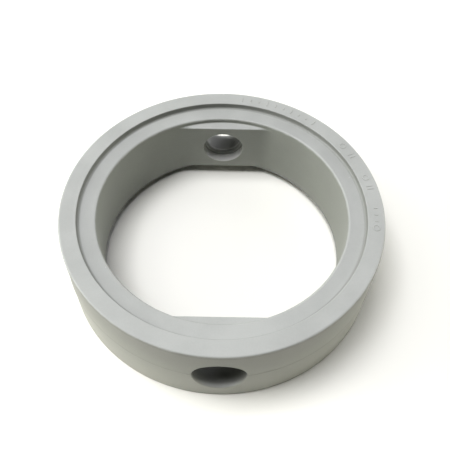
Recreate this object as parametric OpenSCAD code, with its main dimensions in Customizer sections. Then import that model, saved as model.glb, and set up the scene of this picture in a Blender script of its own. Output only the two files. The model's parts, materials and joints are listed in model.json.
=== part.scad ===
// Resilient seat ring for a butterfly valve, one elastomer moulding.
// The origin is the centre of the ring, where the flow axis (Z) crosses the stem axis (Y).
// Both faces are alike: a raised sealing band outside and a lower band inside.
// Inside, two flat pads close the bore slightly around the stem holes.

/* [Ring] */
// Outside diameter
outer_d = 128; // [124:1:140]
// Height over the two sealing bands
height = 34.8; // [33:0.2:44]
// Diameter of the flow bore
bore_d = 99.6; // [96:0.2:104]

/* [Faces] */
// Inside diameter of the raised sealing band on each face
band_d = 114; // [110:0.5:118]
// Drop from the sealing band to the lower band inside it
band_step = 2.7; // [0.8:0.1:3.2]

/* [Stem pads] */
// Distance across the bore between the two flat pads
pad_gap = 92; // [88:0.5:95]
// Drop from the lower band to the ledge of each pad
pad_step = 2.1; // [0.8:0.1:2.6]

/* [Stem holes] */
// Diameter of the outer part of each stem hole, which takes the stem bush
pocket_d = 20; // [18:0.2:22]
// Diameter of the lead-in at each pad
lead_in_d = 18; // [17:0.2:18.6]
// Depth of the lead-in from the pad
lead_in_depth = 4.2; // [2:0.2:5]
// Diameter of the sealing lip between the lead-in and the pocket
lip_d = 15.2; // [12:0.2:16.8]
// Width of the sealing lip along the stem
lip_w = 2.5; // [1:0.1:4]

/* [Edges] */
// Radius on the outside edges of the ring
outer_edge_r = 0.8; // [0.3:0.1:1.5]
// Radius on the edges of the bands and the pads
inner_edge_r = 0.5; // [0.2:0.1:0.7]
// How far each stem hole widens at the outside wall
pocket_flare = 0.8; // [0.3:0.1:1.2]
// How far each stem hole widens at its pad
lead_in_flare = 0.5; // [0.2:0.1:0.6]

/* [Hidden] */
$fn = 180;
outer_r = outer_d / 2;
bore_r = bore_d / 2;
band_r = band_d / 2;
face_z = height / 2;
low_band_z = face_z - band_step;
ledge_z = low_band_z - pad_step;
pad_y = pad_gap / 2;
lip_y = pad_y + lead_in_depth;
pocket_y = lip_y + lip_w;
// The pocket widens over twice its flare, so that it also widens where the wall curves away
flare_len = 2 * pocket_flare;
// How far cutting shapes run past the surface they cut, and pads run into the ring
over = 1;

// Removes the corner at the origin of a shape that lies towards -X and -Y, leaving a radius
module round_corner(r) {
    translate([-r, -r]) difference() {
        square(r + over);
        circle(r);
    }
}

// Half of the ring's cross-section that lies above the middle: X is the radius, Y is the height
module upper_section() {
    difference() {
        translate([bore_r, 0]) square([outer_r - bore_r, face_z]);
        translate([bore_r - over, low_band_z]) square([band_r - bore_r + over, band_step + over]);
        translate([outer_r, face_z]) round_corner(outer_edge_r);
        translate([band_r, face_z]) mirror([1, 0]) round_corner(inner_edge_r);
        translate([bore_r, low_band_z]) mirror([1, 0]) round_corner(inner_edge_r);
    }
}

module ring_wall() {
    rotate_extrude() {
        upper_section();
        mirror([0, 1]) upper_section();
    }
}

// Section of a pad across its flat: X is the distance from the flow axis, Y is the height
module pad_section() {
    difference() {
        translate([pad_y, -ledge_z]) square([bore_r, 2 * ledge_z]);
        translate([pad_y, ledge_z]) mirror([1, 0]) round_corner(inner_edge_r);
        translate([pad_y, -ledge_z]) mirror([1, 0]) mirror([0, 1]) round_corner(inner_edge_r);
    }
}

module pad() {
    intersection() {
        cylinder(h = 2 * ledge_z, r = bore_r + over, center = true);
        rotate([90, 0, 90]) linear_extrude(height = bore_d, center = true) pad_section();
    }
}

// A round cut along +Y between two distances from the flow axis
module cut_along_stem(from_y, to_y, from_r, to_r) {
    translate([0, from_y, 0]) rotate([-90, 0, 0])
        cylinder(h = to_y - from_y, r1 = from_r, r2 = to_r);
}

module stem_hole() {
    lead_in_r = lead_in_d / 2;
    lip_r = lip_d / 2;
    pocket_r = pocket_d / 2;
    cut_along_stem(pad_y - over, lip_y, lead_in_r, lead_in_r);
    cut_along_stem(pad_y - over, pad_y + lead_in_flare, lead_in_r + lead_in_flare + over, lead_in_r);
    cut_along_stem(lip_y - over, pocket_y + over, lip_r, lip_r);
    cut_along_stem(pocket_y, outer_r + over, pocket_r, pocket_r);
    cut_along_stem(outer_r - flare_len, outer_r + 2 * over, pocket_r, pocket_r + pocket_flare + over);
}

module seat_ring() {
    color([0.62, 0.63, 0.61]) difference() {
        union() {
            ring_wall();
            for (side = [0, 180]) rotate([0, 0, side]) pad();
        }
        for (side = [0, 180]) rotate([0, 0, side]) stem_hole();
    }
}

seat_ring();
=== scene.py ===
"""The looks of a butterfly valve's seat ring: one grey elastomer moulding on a white floor."""

import json
import math

import bmesh
import bpy
import numpy as np
from mathutils import Matrix, Vector


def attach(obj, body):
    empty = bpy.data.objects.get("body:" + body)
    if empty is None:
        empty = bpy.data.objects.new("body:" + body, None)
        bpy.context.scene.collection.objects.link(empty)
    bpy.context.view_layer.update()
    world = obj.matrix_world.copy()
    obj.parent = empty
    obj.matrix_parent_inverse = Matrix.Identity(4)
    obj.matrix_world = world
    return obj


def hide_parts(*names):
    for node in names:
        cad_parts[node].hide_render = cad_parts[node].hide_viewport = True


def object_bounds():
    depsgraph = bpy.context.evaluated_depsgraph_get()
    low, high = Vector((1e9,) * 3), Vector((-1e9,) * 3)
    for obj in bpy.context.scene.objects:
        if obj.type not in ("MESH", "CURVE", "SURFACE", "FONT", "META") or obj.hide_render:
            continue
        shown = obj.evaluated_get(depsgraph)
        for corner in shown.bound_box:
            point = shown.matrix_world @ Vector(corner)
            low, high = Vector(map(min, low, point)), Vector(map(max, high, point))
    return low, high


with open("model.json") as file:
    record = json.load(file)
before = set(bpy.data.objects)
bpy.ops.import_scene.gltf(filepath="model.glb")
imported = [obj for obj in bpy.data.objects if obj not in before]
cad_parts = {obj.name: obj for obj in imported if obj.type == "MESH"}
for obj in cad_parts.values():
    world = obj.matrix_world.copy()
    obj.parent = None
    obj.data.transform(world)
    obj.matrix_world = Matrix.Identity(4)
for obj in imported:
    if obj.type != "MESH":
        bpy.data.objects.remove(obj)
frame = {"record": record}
cad_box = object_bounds()

MM = 0.001
UP = Vector((0, 0, 1))
mounts = {m["name"]: m for m in frame["record"]["mounts"]}


def mount_radius(name):
    return mounts[name]["dims"]["r_mm"] * MM


def along_stem(name):
    """Distance of a mount from the flow axis, along the stem."""
    return abs(mounts[name]["pos_m"][1])


# ---- Sizes of the ring: from the frame where it holds them, otherwise as in the CAD ----

OUTER_R = mount_radius("outer_wall")
FACE_Z = cad_box[1].z
BORE_R = mount_radius("disc_seat")
BAND_R = 57.0 * MM
BAND_STEP = 2.7 * MM
PAD_STEP = 2.1 * MM
LOW_BAND_Z = FACE_Z - BAND_STEP
LEDGE_Z = LOW_BAND_Z - PAD_STEP

PAD_Y = along_stem("disc_pad_back")
POCKET_R = mount_radius("stem_pocket_back")
LIP_R = mount_radius("stem_lip_back")
LIP_Y = along_stem("stem_lip_back")
LIP_HALF = mounts["stem_lip_back"]["dims"]["length_mm"] * MM / 2
LIP_OUT_Y = LIP_Y + LIP_HALF
LIP_IN_Y = LIP_Y - LIP_HALF
LEAD_IN_R = 8.9 * MM  # 0.1 mm tighter than in the CAD

# Raised details stand on walls set back by their own height, so they end at the CAD's surface
FLASH_RELIEF = 0.15 * MM
FLASH_HALF_WIDTH = 0.30 * MM
FLASH_SHARPNESS = 1.5
MARK_RELIEF = 0.18 * MM
WALL_R = OUTER_R - FLASH_RELIEF
BAND_Z = FACE_Z - MARK_RELIEF

# Radii of the softened edges and corners, from the outside wall inwards
OUTER_EDGE = 0.75 * MM
BAND_EDGE = 0.35 * MM
BAND_FOOT = 0.95 * MM
BORE_EDGE = 0.95 * MM
LEDGE_CORNER = 0.7 * MM
PAD_EDGE = 0.45 * MM

PAD_CREASE = 1.1 * MM  # how softly the ends of a pad run into the bore
LEDGE_FALL = 0.15 * MM  # how far a ledge falls towards its pad

# The stem hole: its mouth widens fully below and hardly above, and the lip in it is rounded
POCKET_FLARE = 0.8 * MM
UPPER_FLARE_SHARE = 0.15
FLARE_FADE = 3
MOUTH_END_Y = OUTER_R - 2 * POCKET_FLARE
LEAD_IN_FLARE = 0.2 * MM
LIP_ROUND = 0.9 * MM
LIP_SHELF = 0.1 * MM
HOLE_SHOULDER = 0.3 * MM

# ---- Mesh density ----

# Half the size of the patches of the wall and of the pad that the stem holes are cut from
PATCH_ANGLE = math.radians(13.5)
WALL_PATCH_Z = 14.6 * MM
PAD_PATCH_Z = 11.4 * MM
PATCH_COLUMNS = 32
PATCH_ROWS = 32
PATCH_TOLERANCE = 1e-4

CREASE_SPREAD = math.radians(4.2)
COLUMNS_BEFORE_CREASE = 6
COLUMNS_AT_CREASE = 20
COLUMNS_PAST_CREASE = 55

# Shares of each straight part of the section at which a row of points lies
WALL_TOP_ROWS = (0.35, 0.7, 0.93, 1.0)
FACE_ROWS = (0.04, 0.35, 0.66, 0.96, 1.0)
BAND_SIDE_ROWS = (0.08, 0.5, 0.92, 1.0)
BORE_TOP_ROWS = (0.1, 0.5, 0.9, 1.0)
LEDGE_ROWS = (0.04, 0.96, 1.0)
PAD_TOP_ROWS = (0.3, 1.0)
# Rows on the parting line's flash, in its half widths, and the gap to the next row
FLASH_ROWS = (0.35, 0.7, 1.0, 1.5)
FLASH_ROW_GAP = 1.3

# Shares of the way across a patch at which a ring of points lies, and rings in the hole
MOUTH_RING_SHARES = (0.12, 0.26, 0.42, 0.58, 0.74, 0.88, 0.96, 1.0)
PAD_RING_SHARES = (0.05, 0.3, 0.65)
POCKET_RINGS = 5
LEAD_IN_RINGS = 4

ARC_STEPS = 6
MOUTH_STEPS = 8
LIP_STEPS = 4
LEAD_IN_STEPS = 5


# ---- The moulding's surface ----


def blend(start, end, share):
    return start + (end - start) * share


def spread(start, end, count):
    """Evenly spread values after the start, up to and including the end."""
    return np.linspace(start, end, count + 1)[1:]


def quarter_arc(steps):
    """A quarter turn in even steps from its start, as pairs of the sine and one less the cosine."""
    turns = np.linspace(0, math.pi / 2, steps + 1)
    return list(zip(np.sin(turns), 1 - np.cos(turns)))


def patch_parameters(count):
    """Values from -1 to 1 whose directions from the patch's centre are evenly spread."""
    return np.tan(np.linspace(-math.pi / 4, math.pi / 4, count + 1))


def column_angles():
    """Angles round the flow axis, dense at the stem holes and at the ends of the pads."""
    crease = math.acos(PAD_Y / BORE_R)
    patch = PATCH_ANGLE * patch_parameters(PATCH_COLUMNS)
    half = np.concatenate([
        spread(PATCH_ANGLE, crease - CREASE_SPREAD, COLUMNS_BEFORE_CREASE),
        spread(crease - CREASE_SPREAD, crease + CREASE_SPREAD, COLUMNS_AT_CREASE),
        spread(crease + CREASE_SPREAD, math.pi / 2, COLUMNS_PAST_CREASE),
    ])
    quarter = np.concatenate([-half[::-1], patch, half])
    back = math.pi / 2 + quarter[:-1]
    return np.concatenate([back, back + math.pi])


def wall_rows():
    """Relative heights of the rows in a patch, with extra rows for the parting line's flash."""
    even = patch_parameters(PATCH_ROWS)
    fine = np.array(FLASH_ROWS) * FLASH_HALF_WIDTH / WALL_PATCH_Z
    spaced = even[np.abs(even) > fine[-1] * FLASH_ROW_GAP]
    return np.sort(np.concatenate([spaced, fine, -fine, [0.0]]))


def inner_radius(angle):
    """Distance from the flow axis to the bore, or to the pad where the pad is nearer, softly joined."""
    least_sine = 0.1
    pad = PAD_Y / np.maximum(np.abs(np.sin(angle)), least_sine)
    share = np.clip(0.5 + 0.5 * (pad - BORE_R) / PAD_CREASE, 0, 1)
    return pad * (1 - share) + BORE_R * share - PAD_CREASE * share * (1 - share)


class Section:
    """Rows of (radius, z) across the ring, each part starting where the last one ended."""

    def __init__(self, r, z):
        self.rows = [(r, z)]

    def line(self, r, z, shares):
        """A straight part to (r, z), with a row at each of these shares of its length."""
        r0, z0 = self.rows[-1]
        self.rows += [(blend(r0, r, share), blend(z0, z, share)) for share in shares]

    def arc(self, along_r, along_z, starts_flat):
        """A quarter round that ends along_r further in radius and along_z further in height."""
        r0, z0 = self.rows[-1]
        for s, c in quarter_arc(ARC_STEPS)[1:]:
            across, down = (s, c) if starts_flat else (c, s)
            self.rows.append((r0 + along_r * across, z0 + along_z * down))


def half_profile(angle, band_z):
    """The section from the wall patch over one face to the pad patch, without its two ends."""
    inner = inner_radius(angle)
    squeeze = min(1.0, (BORE_R - inner) / (LEDGE_CORNER + PAD_EDGE))
    corner, edge = squeeze * LEDGE_CORNER, squeeze * PAD_EDGE
    section = Section(WALL_R, WALL_PATCH_Z)
    section.line(WALL_R, band_z - OUTER_EDGE, WALL_TOP_ROWS)
    section.arc(-OUTER_EDGE, OUTER_EDGE, starts_flat=False)
    section.line(BAND_R + BAND_EDGE, band_z, FACE_ROWS)
    section.arc(-BAND_EDGE, -BAND_EDGE, starts_flat=True)
    section.line(BAND_R, LOW_BAND_Z + BAND_FOOT, BAND_SIDE_ROWS)
    section.arc(-BAND_FOOT, -BAND_FOOT, starts_flat=False)
    section.line(BORE_R + BORE_EDGE, LOW_BAND_Z, FACE_ROWS)
    section.arc(-BORE_EDGE, -BORE_EDGE, starts_flat=True)
    section.line(BORE_R, LEDGE_Z + LEDGE_CORNER, BORE_TOP_ROWS)
    section.arc(-corner, -LEDGE_CORNER, starts_flat=False)
    section.line(inner + edge, LEDGE_Z - LEDGE_FALL, LEDGE_ROWS)
    section.arc(-edge, -PAD_EDGE, starts_flat=True)
    section.line(inner, PAD_PATCH_Z, PAD_TOP_ROWS)
    return section.rows[1:-1]


def flash(z):
    """How far the parting line's flash stands out of the wall at a height."""
    return FLASH_RELIEF * math.exp(-((z / FLASH_HALF_WIDTH) ** 2) * FLASH_SHARPNESS)


def full_profile(angle):
    """The closed section, up the wall, over, down the inside and back, with the number of wall
    rows and the row where the inside starts."""
    rows = wall_rows()
    wall = [(WALL_R + flash(z), z) for z in rows * WALL_PATCH_Z]
    inner = inner_radius(angle)
    inside = [(inner, -z) for z in rows * PAD_PATCH_Z]
    upper = half_profile(angle, BAND_Z)
    lower = [(r, -z) for r, z in reversed(half_profile(angle, FACE_Z))]
    return np.array(wall + upper + inside + lower), len(wall), len(wall) + len(upper)


class Surface:
    """Points and faces gathered for one closed mesh."""

    def __init__(self):
        self.points = []
        self.faces = []

    def add(self, point):
        self.points.append(tuple(point))
        return len(self.points) - 1

    def bridge(self, ring, next_ring):
        """Faces between two closed rings with the same number of points."""
        for k in range(len(ring)):
            n = (k + 1) % len(ring)
            self.faces.append((ring[k], ring[n], next_ring[n], next_ring[k]))


def sweep_section(surface, angles):
    """The grid of points round the ring: one column for each angle, one row for each section point."""
    grid = []
    for angle in angles:
        section, wall_count, inside_start = full_profile(angle)
        out_x, out_y = math.cos(angle), math.sin(angle)
        grid.append([surface.add((r * out_x, r * out_y, z)) for r, z in section])
    return np.array(grid), wall_count, inside_start


def patch_columns(angles, centre):
    """First and last column of the patch round the stem hole at an angle."""
    inside = np.where(np.abs(angles - centre) < PATCH_ANGLE * (1 + PATCH_TOLERANCE))[0]
    return inside[0], inside[-1]


def perimeter(first, last, low, high):
    """Column and row pairs round a patch, anticlockwise as seen along its rows and columns."""
    step = 1 if high > low else -1
    path = [(j, low) for j in range(first, last)]
    path += [(last, i) for i in range(low, high, step)]
    path += [(j, high) for j in range(last, first, -1)]
    path += [(first, i) for i in range(high, low, -step)]
    return path


def mouth_flare_share(direction):
    """How much of the flare a mouth has in a direction from its centre: the whole of it below."""
    below = 0.5 - 0.5 * direction.y
    return blend(UPPER_FLARE_SHARE, 1, below ** FLARE_FADE)


def mouth_rings(patch, directions, wall_radii):
    """Rings over the outside wall to the hole's mouth, then round its edge into the pocket."""
    flares = [POCKET_FLARE * mouth_flare_share(d) for d in directions]
    rings = []
    for share in MOUTH_RING_SHARES:
        places = []
        for (u0, z0), d, r, flare in zip(patch, directions, wall_radii, flares):
            mouth_r = POCKET_R + flare
            u, z = blend(u0, d.x * mouth_r, share), blend(z0, d.y * mouth_r, share)
            places.append((math.sqrt(r * r - u * u), u, z))
        rings.append(places)
    for s, c in quarter_arc(MOUTH_STEPS)[1:]:
        places = []
        for d, r, flare in zip(directions, wall_radii, flares):
            radius = POCKET_R + flare * (1 - s)
            u, z = d.x * radius, d.y * radius
            places.append((blend(math.sqrt(r * r - u * u), MOUTH_END_Y, c), u, z))
        rings.append(places)
    return rings


def hole_stations():
    """The hole's wall from its mouth to the pad, as (distance from the flow axis, radius)."""
    arc = quarter_arc(LIP_STEPS)
    pocket_end, lead_in_start = LIP_OUT_Y + HOLE_SHOULDER, LIP_IN_Y - HOLE_SHOULDER
    stations = [(y, POCKET_R) for y in spread(MOUTH_END_Y, pocket_end, POCKET_RINGS)]
    stations += [(LIP_OUT_Y + HOLE_SHOULDER * (1 - s), POCKET_R - HOLE_SHOULDER * c) for s, c in arc[1:]]
    stations.append((LIP_OUT_Y, LIP_R + LIP_ROUND + LIP_SHELF))
    stations += [(LIP_OUT_Y - LIP_ROUND * c, LIP_R + LIP_ROUND * (1 - s)) for s, c in arc]
    stations += [(LIP_IN_Y + LIP_ROUND * (1 - s), LIP_R + LIP_ROUND * c) for s, c in arc]
    stations += [(LIP_IN_Y - HOLE_SHOULDER * c, LEAD_IN_R - HOLE_SHOULDER * (1 - s)) for s, c in arc]
    pad_edge = PAD_Y + LEAD_IN_FLARE
    stations += [(y, LEAD_IN_R) for y in spread(lead_in_start, pad_edge, LEAD_IN_RINGS)]
    return stations


def wall_rings(outer_directions, inner_directions):
    """Rings along the hole's wall, whose points turn from the outer directions to the inner ones."""
    stations = hole_stations()
    rings = []
    for n, (y, radius) in enumerate(stations):
        share = (n + 1) / len(stations)
        turned = [a.lerp(b, share).normalized() for a, b in zip(outer_directions, inner_directions)]
        rings.append([(y, d.x * radius, d.y * radius) for d in turned])
    return rings


def pad_rings(patch, directions):
    """Rings round the edge of the lead-in, then over the pad towards the edge of its patch."""
    rings = []
    for s, c in quarter_arc(LEAD_IN_STEPS)[1:]:
        radius, y = LEAD_IN_R + LEAD_IN_FLARE * c, PAD_Y + LEAD_IN_FLARE * (1 - s)
        rings.append([(y, d.x * radius, d.y * radius) for d in directions])
    mouth_r = LEAD_IN_R + LEAD_IN_FLARE
    for share in PAD_RING_SHARES:
        rings.append([
            (PAD_Y, blend(d.x * mouth_r, u, share), blend(d.y * mouth_r, z, share))
            for (u, z), d in zip(patch, directions)
        ])
    return rings


def stem_hole(surface, grid, wall_count, inside_start, first, last, centre):
    """A stem hole, as rings of points from the wall patch's outline inwards to the pad patch's."""
    out = Vector((math.cos(centre), math.sin(centre), 0))
    side = Vector((-math.sin(centre), math.cos(centre), 0))

    def outline(low, high):
        """Point numbers, places seen along the hole, and distances from the flow axis."""
        ids = [int(grid[j][i]) for j, i in perimeter(first, last, low, high)]
        points = [Vector(surface.points[n]) for n in ids]
        return ids, [(p.dot(side), p.z) for p in points], [math.hypot(p.x, p.y) for p in points]

    outer_ids, outer_patch, wall_radii = outline(0, wall_count - 1)
    inner_ids, inner_patch, _ = outline(inside_start + wall_count - 1, inside_start)
    outer_directions = [Vector(p).normalized() for p in outer_patch]
    inner_directions = [Vector(p).normalized() for p in inner_patch]
    between = mouth_rings(outer_patch, outer_directions, wall_radii)
    between += wall_rings(outer_directions, inner_directions)
    between += pad_rings(inner_patch, inner_directions)
    rings = [outer_ids]
    for places in between:
        rings.append([surface.add(out * y + side * u + UP * z) for y, u, z in places])
    rings.append(inner_ids)
    for ring, next_ring in zip(rings, rings[1:]):
        surface.bridge(ring, next_ring)


def ring_surface():
    """The closed surface of the whole moulding, without its marks."""
    surface = Surface()
    angles = column_angles()
    grid, wall_count, inside_start = sweep_section(surface, angles)
    columns, rows = grid.shape
    open_cells = set()
    for centre in (math.pi / 2, 3 * math.pi / 2):
        first, last = patch_columns(angles, centre)
        for j in range(first, last):
            for i in range(wall_count - 1):
                open_cells.add((j, i))
                open_cells.add((j, inside_start + i))
        stem_hole(surface, grid, wall_count, inside_start, first, last, centre)
    for j in range(columns):
        k = (j + 1) % columns
        for i in range(rows):
            n = (i + 1) % rows
            if (j, i) not in open_cells:
                corners = (grid[j][i], grid[k][i], grid[k][n], grid[j][n])
                surface.faces.append(tuple(int(v) for v in corners))
    return surface


def mesh_object(name, points, faces):
    """A smooth mesh of these faces, without the points that no face uses."""
    used = sorted(set(v for face in faces for v in face))
    place = {v: n for n, v in enumerate(used)}
    mesh = bpy.data.meshes.new(name)
    mesh.from_pydata([points[v] for v in used], [], [[place[v] for v in face] for face in faces])
    mesh.validate()
    mesh.update()
    mesh.shade_smooth()
    obj = bpy.data.objects.new(name, mesh)
    bpy.context.scene.collection.objects.link(obj)
    return obj


# ---- Moulded marks on the upper band, with places in degrees from +X ----

MARK_HALF_WIDTH = 0.28 * MM
MARK_CENTRE_R = (WALL_R + BAND_R) / 2
LONG_TICK = 2.8 * MM
SHORT_TICK = 1.5 * MM
RING_MARK_R = 1.25 * MM

SCALE_START = 82
SCALE_STEP = 3.6
SCALE_TICKS = 10
LONG_TICK_EVERY = 3
RING_MARKS_AT = (33, 15, -9)
TICK_PAIRS_AT = (27, 10)
PAIR_HALF_GAP = 0.7
SHORT_TICKS_AT = (0, -3, -6)

RIDGE_SIDES = 10
RING_MARK_STEPS = 28
BAR_END_TURNS = np.radians([-75, -50, -25, 0])


def direction_at(turn):
    return Vector((math.cos(turn), math.sin(turn), 0))


def ridge_section(surface, centre, along, scale):
    """One elliptical section across a raised line, half sunk into the band."""
    across = UP.cross(along)
    ring = []
    for k in range(RIDGE_SIDES):
        turn = 2 * math.pi * k / RIDGE_SIDES
        width, height = MARK_HALF_WIDTH * scale * math.cos(turn), MARK_RELIEF * scale * math.sin(turn)
        ring.append(surface.add(centre + across * width + UP * height))
    return ring


def ring_mark(surface, centre, radius):
    sections = []
    for k in range(RING_MARK_STEPS):
        out = direction_at(2 * math.pi * k / RING_MARK_STEPS)
        sections.append(ridge_section(surface, centre + out * radius, UP.cross(out), 1))
    for section, next_section in zip(sections, sections[1:] + sections[:1]):
        surface.bridge(section, next_section)


def bar_mark(surface, centre, along, length):
    """A straight raised line with round ends."""
    half = length / 2 - MARK_HALF_WIDTH
    starts = [(-half + MARK_HALF_WIDTH * math.sin(t), math.cos(t)) for t in BAR_END_TURNS]
    stations = starts + [(-at, scale) for at, scale in reversed(starts)]
    sections = [ridge_section(surface, centre + along * at, along, scale) for at, scale in stations]
    for section, next_section in zip(sections, sections[1:]):
        surface.bridge(section, next_section)
    first = surface.add(centre - along * (length / 2))
    last = surface.add(centre + along * (length / 2))
    for k in range(RIDGE_SIDES):
        n = (k + 1) % RIDGE_SIDES
        surface.faces.append((sections[0][n], sections[0][k], first))
        surface.faces.append((sections[-1][k], sections[-1][n], last))


def marks_surface():
    """Plain ticks and rings, such as a mould carries to tell its cavities apart."""
    surface = Surface()

    def tick(degrees, length):
        out = direction_at(math.radians(degrees))
        bar_mark(surface, out * MARK_CENTRE_R + UP * BAND_Z, out, length)

    for n in range(SCALE_TICKS):
        tick(SCALE_START - SCALE_STEP * n, SHORT_TICK if n % LONG_TICK_EVERY else LONG_TICK)
    for degrees in RING_MARKS_AT:
        centre = direction_at(math.radians(degrees)) * MARK_CENTRE_R + UP * BAND_Z
        ring_mark(surface, centre, RING_MARK_R)
    for degrees in TICK_PAIRS_AT:
        tick(degrees + PAIR_HALF_GAP, LONG_TICK)
        tick(degrees - PAIR_HALF_GAP, LONG_TICK)
    for degrees in SHORT_TICKS_AT:
        tick(degrees, SHORT_TICK)
    return surface


# ---- Camera, floor and light ----

# The camera's place and aim were fitted to the rims, with its turns in radians
CAMERA_DISTANCE = 4.2264 * OUTER_R
CAMERA_ELEVATION = math.radians(57.4)
CAMERA_PAN = -0.0050
CAMERA_TILT = 0.0455
CAMERA_ROLL = -0.0179
CAMERA_LENS_MM = 49.18
CAMERA_SENSOR_MM = 36

FLOOR_HALF = 0.45
FLOOR_WHITE = (0.95, 0.945, 0.89)
FLOOR_ROUGHNESS = 0.9
FLOOR_SPECULAR = 0.1
BACKDROP_WHITE = (1, 1, 1)

SOFT_BOX_SIZE = 0.6
SOFT_BOX_DISTANCE = 1.2


def make_camera():
    """A camera in front of the near stem hole, raised above the ring and aimed slightly off its centre."""
    floor_centre = Vector((0, 0, -FACE_Z))
    place = CAMERA_DISTANCE * Vector((0, -math.cos(CAMERA_ELEVATION), math.sin(CAMERA_ELEVATION)))
    forward = -place.normalized()
    right = Vector((1, 0, 0))
    up = right.cross(forward)
    turn = Matrix.Rotation(CAMERA_PAN, 3, up)
    right, forward = turn @ right, turn @ forward
    turn = Matrix.Rotation(CAMERA_TILT, 3, right)
    forward, up = turn @ forward, turn @ up
    turn = Matrix.Rotation(CAMERA_ROLL, 3, forward)
    right, up = turn @ right, turn @ up
    data = bpy.data.cameras.new("camera")
    data.sensor_width = CAMERA_SENSOR_MM
    data.lens = CAMERA_LENS_MM
    camera = bpy.data.objects.new("camera", data)
    turned = Matrix((right, up, -forward)).transposed().to_4x4()
    camera.matrix_world = Matrix.Translation(floor_centre + place) @ turned
    bpy.context.scene.collection.objects.link(camera)
    bpy.context.scene.camera = camera


def make_floor():
    half, z = FLOOR_HALF, -FACE_Z
    corners = [(-half, -half, z), (half, -half, z), (half, half, z), (-half, half, z)]
    floor = mesh_object("floor", corners, [(0, 1, 2, 3)])
    material = bpy.data.materials.new("white_floor")
    material.use_nodes = True
    shader = material.node_tree.nodes["Principled BSDF"]
    shader.inputs["Base Color"].default_value = (*FLOOR_WHITE, 1)
    shader.inputs["Roughness"].default_value = FLOOR_ROUGHNESS
    shader.inputs["Specular IOR Level"].default_value = FLOOR_SPECULAR
    floor.data.materials.append(material)


def soft_box(name, azimuth, elevation, power, colour):
    """A square soft light that faces the ring; the azimuth runs in degrees from +X to +Y."""
    a, e = math.radians(azimuth), math.radians(elevation)
    data = bpy.data.lights.new(name, "AREA")
    data.shape = "SQUARE"
    data.size = SOFT_BOX_SIZE
    data.energy = power
    data.color = colour
    light = bpy.data.objects.new(name, data)
    outward = Vector((math.cos(a) * math.cos(e), math.sin(a) * math.cos(e), math.sin(e)))
    light.location = SOFT_BOX_DISTANCE * outward
    light.rotation_euler = (-light.location).to_track_quat("-Z", "Y").to_euler()
    bpy.context.scene.collection.objects.link(light)


def make_light():
    """Soft boxes overhead, left, right and behind, none in front, and a backdrop that lights nothing."""
    scene = bpy.context.scene
    scene.view_settings.view_transform = "Standard"
    world = bpy.data.worlds.new("white_backdrop")
    world.use_nodes = True
    world.node_tree.nodes["Background"].inputs["Color"].default_value = (*BACKDROP_WHITE, 1)
    scene.world = world
    world.cycles_visibility.diffuse = False
    world.cycles_visibility.glossy = False
    soft_box("overhead", 180, 78, 11.4, (0.98, 0.98, 1.0))
    soft_box("high_left", 180, 62, 3.3, (0.96, 0.95, 1.0))
    soft_box("left", 180, 40, 2.2, (1.0, 1.0, 0.9))
    soft_box("level_left", 180, 15, 6.5, (1.0, 1.0, 0.96))
    soft_box("low_left", 172, 5, 6.7, (1.0, 1.0, 1.0))
    soft_box("high_back_right", 45, 40, 2.25, (0.92, 0.91, 1.0))
    soft_box("low_back_right", 30, 5, 5.7, (1.0, 1.0, 1.0))
    soft_box("low_back", 90, 5, 3.1, (1.0, 1.0, 0.95))
    soft_box("low_right", 0, 5, 4.6, (1.0, 1.0, 0.82))


# ---- Material ----

# Lit and shaded copies of one grey: paler on upward faces, painted shade on the outside wall and darker
# painted shade on the bore's inward faces
LIT_FACE_GREY = (0.397, 0.409, 0.391)
SHADED_WALL_GREY = (0.342, 0.346, 0.302)
SHADED_BORE_GREY = (0.238, 0.25, 0.219)
# Painted shade deep in the stem holes, under the pads and in the foot corner
SHADED_DEEP_GREY = (0.212, 0.218, 0.204)
# Painted highlight on outward edges
EDGE_HIGHLIGHT_GREY = (0.43, 0.44, 0.425)
# Painted highlight on the lower side of the stem holes' lead-ins
CRESCENT_HIGHLIGHT_GREY = (0.52, 0.525, 0.505)
DUST_GREY = (0.66, 0.65, 0.62)

# Soft borders of the tones: each starts at the first value and is fully there at the second
FACES_UP = (0.45, 0.9)
FACES_INWARDS = (-0.3, -0.7)
# Where the painted shade in the stem holes and under the pads lies
IN_HOLE = (POCKET_R + 0.4 * MM, POCKET_R + 0.1 * MM)
PAST_LEAD_IN = (LIP_IN_Y - 0.3 * MM, LIP_Y)
BEFORE_MOUTH = (OUTER_R - 0.7 * MM, OUTER_R - 2.6 * MM)
UNDER_PAD = (-LEDGE_Z + 0.2 * MM, -LEDGE_Z - 0.4 * MM)
# Painted shade in the corner at the foot of the raised band
INSIDE_BAND = (BAND_R + 1.0 * MM, BAND_R)
FOOT_INNER = (BAND_R - 1.3 * MM, BAND_R - 0.5 * MM)
FOOT_OUTER = (BAND_R + 0.2 * MM, BAND_R)
FOOT_HEIGHT = (LOW_BAND_Z - 0.3 * MM, LOW_BAND_Z - 0.1 * MM)
FOOT_SHADE = 0.75
# Where the painted highlight in the lead-ins lies
IN_LEAD_IN = (POCKET_R, LEAD_IN_R + 0.2 * MM)
BEFORE_LIP = (LIP_IN_Y, LIP_IN_Y - 0.4 * MM)
CRESCENT_FACING = (0.2, 0.7)

# Painted shade on the outside wall: a fade darker towards the rim and a painted shadow line just under the
# rim
WALL_FADE_HEIGHTS = (-0.8 * FACE_Z, FACE_Z)
WALL_FADE = (1.07, 0.75)
RIM_LINE_Z = FACE_Z - 1.3 * MM
RIM_LINE_HALF = 0.7 * MM
RIM_LINE_SHADE = 0.86

# Scales of the noises, in cells per metre, and what is made of them
CLOUD_SCALE = 55
GRAIN_SCALE = 1500
STREAK_SCALE = 900
# Noise that breaks up the painted edge highlight
EDGE_HIGHLIGHT_SCALE = 260
DUST_SCALE = 190
NOISE_MIDDLE = (0.3, 0.7)
TONE_RANGE = (0.93, 1.07)
ROUGHNESS_RANGE = (0.48, 0.56)
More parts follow.
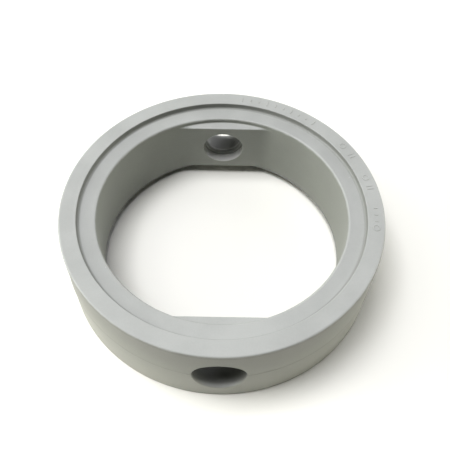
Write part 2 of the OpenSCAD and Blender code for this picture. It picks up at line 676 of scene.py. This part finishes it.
# Middle and range of the painted edge highlight's noise
EDGE_HIGHLIGHT_MIDDLE = (0.35, 0.7)
EDGE_HIGHLIGHT_RANGE = (0.05, 0.35)
CLOUD_IN_TONE, GRAIN_IN_TONE = 0.7, 0.3
GRAIN_IN_RELIEF, STREAKS_IN_RELIEF = 0.6, 0.4
RELIEF_STRENGTH = 0.35
RELIEF_DEPTH = 0.03 * MM
SPECULAR_LEVEL = 0.5

DUST_LIES = (0.9, 0.97)
DUSTY_CELLS = (0.8, 0.82)
SPECK_SIZES = (0.05, 0.025)
DUST_STRENGTH = 0.5

SHARP_BEND = math.radians(14)


class Nodes:
    """Short calls for building one material's node tree."""

    def __init__(self, material):
        material.use_nodes = True
        self.tree = material.node_tree
        self.shader = self.tree.nodes["Principled BSDF"]

    def link(self, source, target):
        self.tree.links.new(source, target)

    def new(self, kind, inputs=(), **settings):
        made = self.tree.nodes.new(kind)
        for key, value in settings.items():
            setattr(made, key, value)
        for key, value in dict(inputs).items():
            if isinstance(value, bpy.types.NodeSocket):
                self.link(value, made.inputs[key])
            else:
                made.inputs[key].default_value = value
        return made

    def math(self, operation, a, b=0.0):
        return self.new("ShaderNodeMath", {0: a, 1: b}, operation=operation).outputs[0]

    def product(self, first, *others):
        for other in others:
            first = self.math("MULTIPLY", first, other)
        return first

    def weigh(self, a, a_weight, b, b_weight):
        return self.math("ADD", self.product(a, a_weight), self.product(b, b_weight))

    def vector(self, operation, inputs, output=0):
        made = self.new("ShaderNodeVectorMath", inputs, operation=operation)
        return made.outputs[output]

    def axis(self, vector, name):
        return self.new("ShaderNodeSeparateXYZ", {0: vector}).outputs[name]

    def noise(self, vector, scale, detail, roughness=0.55):
        inputs = {"Vector": vector, "Scale": scale, "Detail": detail, "Roughness": roughness}
        return self.new("ShaderNodeTexNoise", inputs).outputs["Fac"]

    def steps(self, value, low, high, to_low=0.0, to_high=1.0):
        inputs = {"Value": value, "From Min": low, "From Max": high, "To Min": to_low, "To Max": to_high}
        return self.new("ShaderNodeMapRange", inputs, interpolation_type="SMOOTHSTEP").outputs["Result"]

    def mix(self, share, a, b):
        made = self.new("ShaderNodeMix", {"Factor": share}, data_type="RGBA")
        for key, value in (("A", a), ("B", b)):
            socket = [i for i in made.inputs if i.name == key and i.type == "RGBA"][0]
            if isinstance(value, tuple):
                socket.default_value = (*value, 1)
            else:
                self.link(value, socket)
        return [o for o in made.outputs if o.type == "RGBA"][0]


class Place:
    """Sockets for where the shaded point lies on the ring and which way it faces."""

    def __init__(self, n):
        self.point = n.new("ShaderNodeTexCoord").outputs["Object"]
        self.height = n.axis(self.point, "Z")
        flat = n.vector("MULTIPLY", {0: self.point, 1: (1, 1, 0)})
        self.radius = n.vector("LENGTH", {0: flat}, "Value")
        self.outward = n.vector("NORMALIZE", {0: flat})

        across_stem = n.vector("MULTIPLY", {0: self.point, 1: (1, 0, 1)})
        self.from_stem = n.vector("LENGTH", {0: across_stem}, "Value")
        self.along_stem = n.math("ABSOLUTE", n.axis(self.point, "Y"))

        normal = n.new("ShaderNodeNewGeometry").outputs["Normal"]
        self.upward = n.axis(normal, "Z")
        self.faces_outward = n.vector("DOT_PRODUCT", {0: normal, 1: self.outward}, "Value")


def moulding_streaks(n, at):
    """Very faint lines that run round the ring, as a turned mould leaves them."""
    radius, height = n.product(at.radius, STREAK_SCALE), n.product(at.height, STREAK_SCALE)
    tight = n.new("ShaderNodeCombineXYZ", {"X": radius, "Y": height}).outputs[0]
    return n.noise(n.vector("ADD", {0: tight, 1: at.outward}), 1.0, detail=3)


def deep_shade_share(n, at):
    """Painted shade: one inside the stem holes, past their lead-ins and mouths, and on the inside below
    the pads.
    """
    in_hole = n.steps(at.from_stem, *IN_HOLE)
    past_lead_in = n.steps(at.along_stem, *PAST_LEAD_IN)
    before_mouth = n.steps(at.along_stem, *BEFORE_MOUTH)
    under_pad = n.product(n.steps(at.height, *UNDER_PAD), n.steps(at.radius, *INSIDE_BAND))
    return n.math("MAXIMUM", n.product(in_hole, past_lead_in, before_mouth), under_pad)


def foot_shade_share(n, at):
    """Painted shade, part of one in the corner at the foot of the raised band."""
    inner, outer = n.steps(at.radius, *FOOT_INNER), n.steps(at.radius, *FOOT_OUTER)
    return n.product(inner, outer, n.steps(at.height, *FOOT_HEIGHT, to_high=FOOT_SHADE))


def lit_crescent_share(n, at):
    """Painted highlight: one on the upward-facing lower side of each hole's lead-in."""
    in_lead_in = n.steps(at.from_stem, *IN_LEAD_IN)
    before_lip = n.steps(at.along_stem, *BEFORE_LIP)
    return n.product(in_lead_in, before_lip, n.steps(at.upward, *CRESCENT_FACING))


def wall_shade(n, at):
    """Painted shade on the outside wall: darker towards the upper rim, most of all in a thin painted
    shadow line right below it.
    """
    fade = n.steps(at.height, *WALL_FADE_HEIGHTS, *WALL_FADE)
    from_line = n.math("ABSOLUTE", n.math("SUBTRACT", at.height, RIM_LINE_Z))
    return n.product(fade, n.steps(from_line, 0.0, RIM_LINE_HALF, RIM_LINE_SHADE, 1.0))


def shaded_zone_colour(n, at):
    """Painted light and shade: paler on upward faces, painted shade on the outside wall, darker painted
    shade on the bore, a painted highlight in the lead-ins and the darkest painted shade deep in the stem
    holes.
    """
    # Outside wall grey with its painted shade
    wall = n.vector("SCALE", {0: SHADED_WALL_GREY, "Scale": wall_shade(n, at)})
    # Painted shade on inward faces, paler painted light on upward faces
    colour = n.mix(n.steps(at.faces_outward, *FACES_INWARDS), wall, SHADED_BORE_GREY)
    colour = n.mix(n.steps(at.upward, *FACES_UP), colour, LIT_FACE_GREY)
    # Painted highlight in the lead-ins
    colour = n.mix(lit_crescent_share(n, at), colour, CRESCENT_HIGHLIGHT_GREY)
    # Painted shade in the foot corner
    colour = n.mix(foot_shade_share(n, at), colour, SHADED_DEEP_GREY)
    # Painted shade deep in the holes and under the pads
    return n.mix(deep_shade_share(n, at), colour, SHADED_DEEP_GREY)


def edge_highlight(n, at):
    """Painted highlight on the outward edges, uneven round the ring."""
    edge = n.new("ShaderNodeAttribute", attribute_name="edge").outputs["Fac"]
    return n.product(edge, n.steps(n.noise(at.point, EDGE_HIGHLIGHT_SCALE, detail=4), *EDGE_HIGHLIGHT_MIDDLE, *EDGE_HIGHLIGHT_RANGE))


def dust_share(n, at):
    """Small specks of dust on the upward faces, in a few of the noise's cells."""
    cells = n.new("ShaderNodeTexVoronoi", {"Vector": at.point, "Scale": DUST_SCALE}, feature="F1")
    chosen = n.steps(n.axis(cells.outputs["Color"], "X"), *DUSTY_CELLS)
    speck = n.steps(cells.outputs["Distance"], *SPECK_SIZES)
    return n.product(speck, chosen, n.steps(at.upward, *DUST_LIES, to_high=DUST_STRENGTH))


def elastomer():
    """Matte grey elastomer: cloudy tone, fine grain, painted light and shade by facing and place, painted
    edge highlights and a little dust on top.
    """
    material = bpy.data.materials.new("moulded_elastomer")
    n = Nodes(material)
    at = Place(n)
    cloud = n.noise(at.point, CLOUD_SCALE, detail=4)
    grain = n.noise(at.point, GRAIN_SCALE, detail=5, roughness=0.7)
    tone = n.weigh(cloud, CLOUD_IN_TONE, grain, GRAIN_IN_TONE)
    shade = n.steps(tone, *NOISE_MIDDLE, *TONE_RANGE)
    # Tone noise over the painted light and shade zones
    colour = n.vector("SCALE", {0: shaded_zone_colour(n, at), "Scale": shade})
    # Painted edge highlight
    colour = n.mix(edge_highlight(n, at), colour, EDGE_HIGHLIGHT_GREY)
    colour = n.mix(dust_share(n, at), colour, DUST_GREY)
    n.link(colour, n.shader.inputs["Base Color"])

    n.link(n.steps(cloud, *NOISE_MIDDLE, *ROUGHNESS_RANGE), n.shader.inputs["Roughness"])
    n.shader.inputs["Specular IOR Level"].default_value = SPECULAR_LEVEL
    relief = n.weigh(grain, GRAIN_IN_RELIEF, moulding_streaks(n, at), STREAKS_IN_RELIEF)
    depth = {"Height": relief, "Strength": RELIEF_STRENGTH, "Distance": RELIEF_DEPTH}
    n.link(n.new("ShaderNodeBump", depth).outputs["Normal"], n.shader.inputs["Normal"])
    return material


def note_edges(obj):
    """Stores how strongly each point lies on an outward edge, for the material to paint a lighter edge
    highlight.
    """
    shape = bmesh.new()
    shape.from_mesh(obj.data)
    values = []
    for v in shape.verts:
        bends = [e.calc_face_angle_signed(0.0) for e in v.link_edges]
        values.append(min(1.0, max(0.0, max(bends) / SHARP_BEND)))
    shape.free()
    obj.data.attributes.new("edge", "FLOAT", "POINT").data.foreach_set("value", values)


make_camera()
make_floor()
make_light()
grey = elastomer()
ring = ring_surface()
seat = mesh_object("seat_ring_moulding", ring.points, ring.faces)
marks = marks_surface()
raised_marks = mesh_object("moulded_marks", marks.points, marks.faces)
for piece in (seat, raised_marks):
    note_edges(piece)
    piece.data.materials.append(grey)
    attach(piece, "root")
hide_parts("seat_ring")
